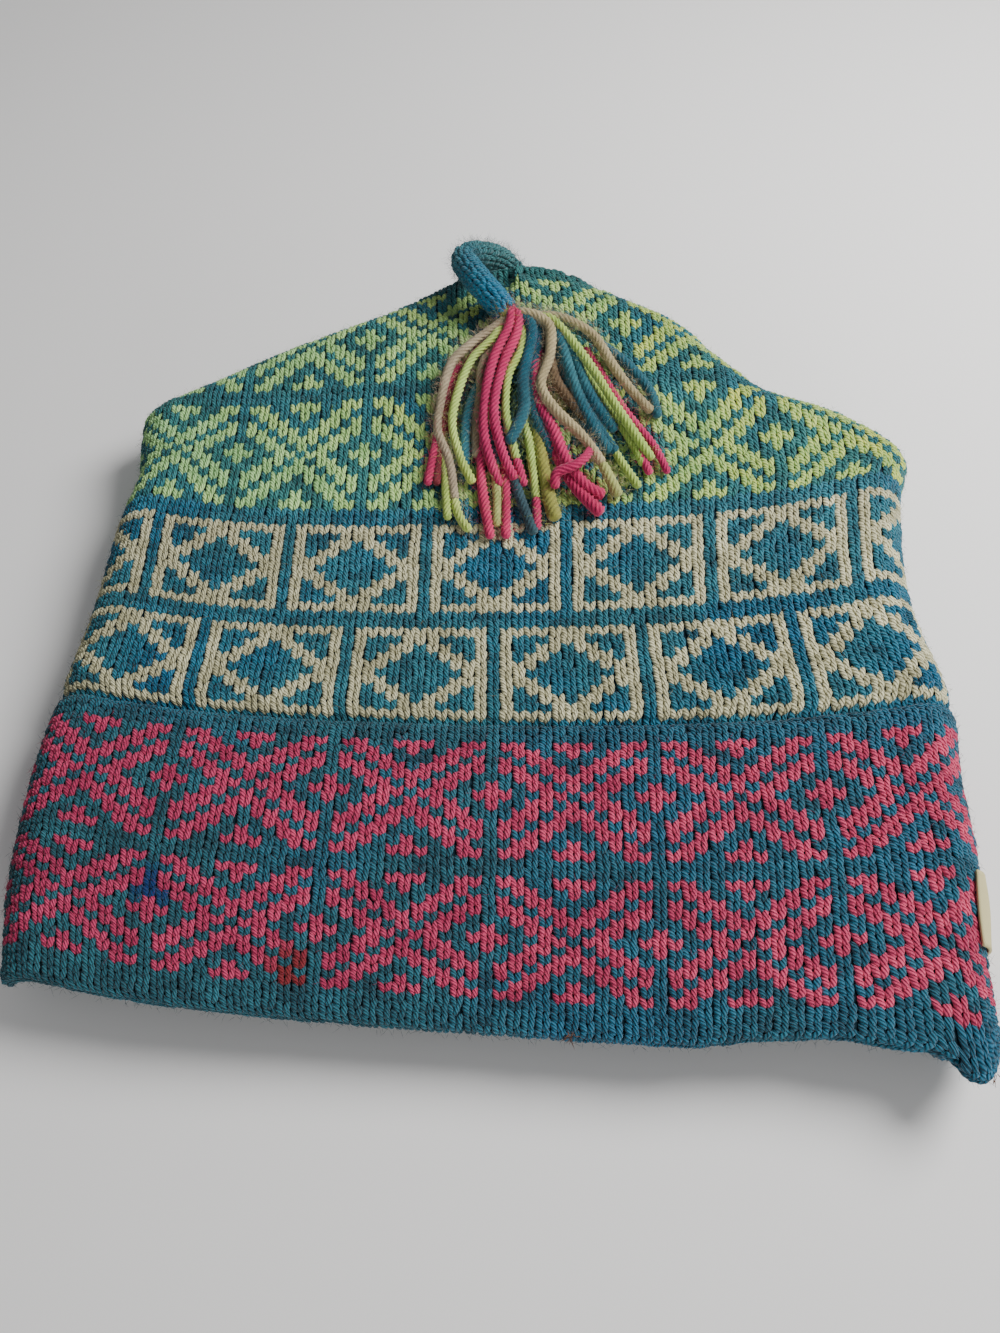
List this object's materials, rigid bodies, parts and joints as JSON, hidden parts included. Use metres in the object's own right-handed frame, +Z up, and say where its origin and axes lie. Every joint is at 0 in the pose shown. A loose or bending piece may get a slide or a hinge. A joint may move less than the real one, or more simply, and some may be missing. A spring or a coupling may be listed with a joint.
{
  "type": "knit toque",
  "caption": "Stranded-knit toque lying flat: tent-shaped crown, doubled cuff, knitted cord loop with a yarn tassel, cloth tab.",
  "frame": {"origin": "on the flat face that the hat lies on, under the middle of its front", "axes": "+Z up, out of the patterned front; +Y from the hem to the crown; +X to the right as one looks at the front with the hem near"},
  "size_m": [0.2794, 0.2926, 0.0523],
  "materials": {
    "teal_wool": "matt knitted wool, slightly fuzzy",
    "tassel_yarn": "matt plied wool in pink, lime, teal and beige",
    "label_cloth": "plain woven tape",
    "pink_wool": "matt knitted wool, slightly fuzzy",
    "cream_wool": "matt knitted wool, slightly fuzzy",
    "lime_wool": "matt knitted wool, slightly fuzzy"
  },
  "bodies": {
    "root": {"crown": "teal_wool", "cuff": "teal_wool", "cord_loop": "teal_wool", "tassel": "tassel_yarn", "label": "label_cloth"}
  },
  "joints": []
}
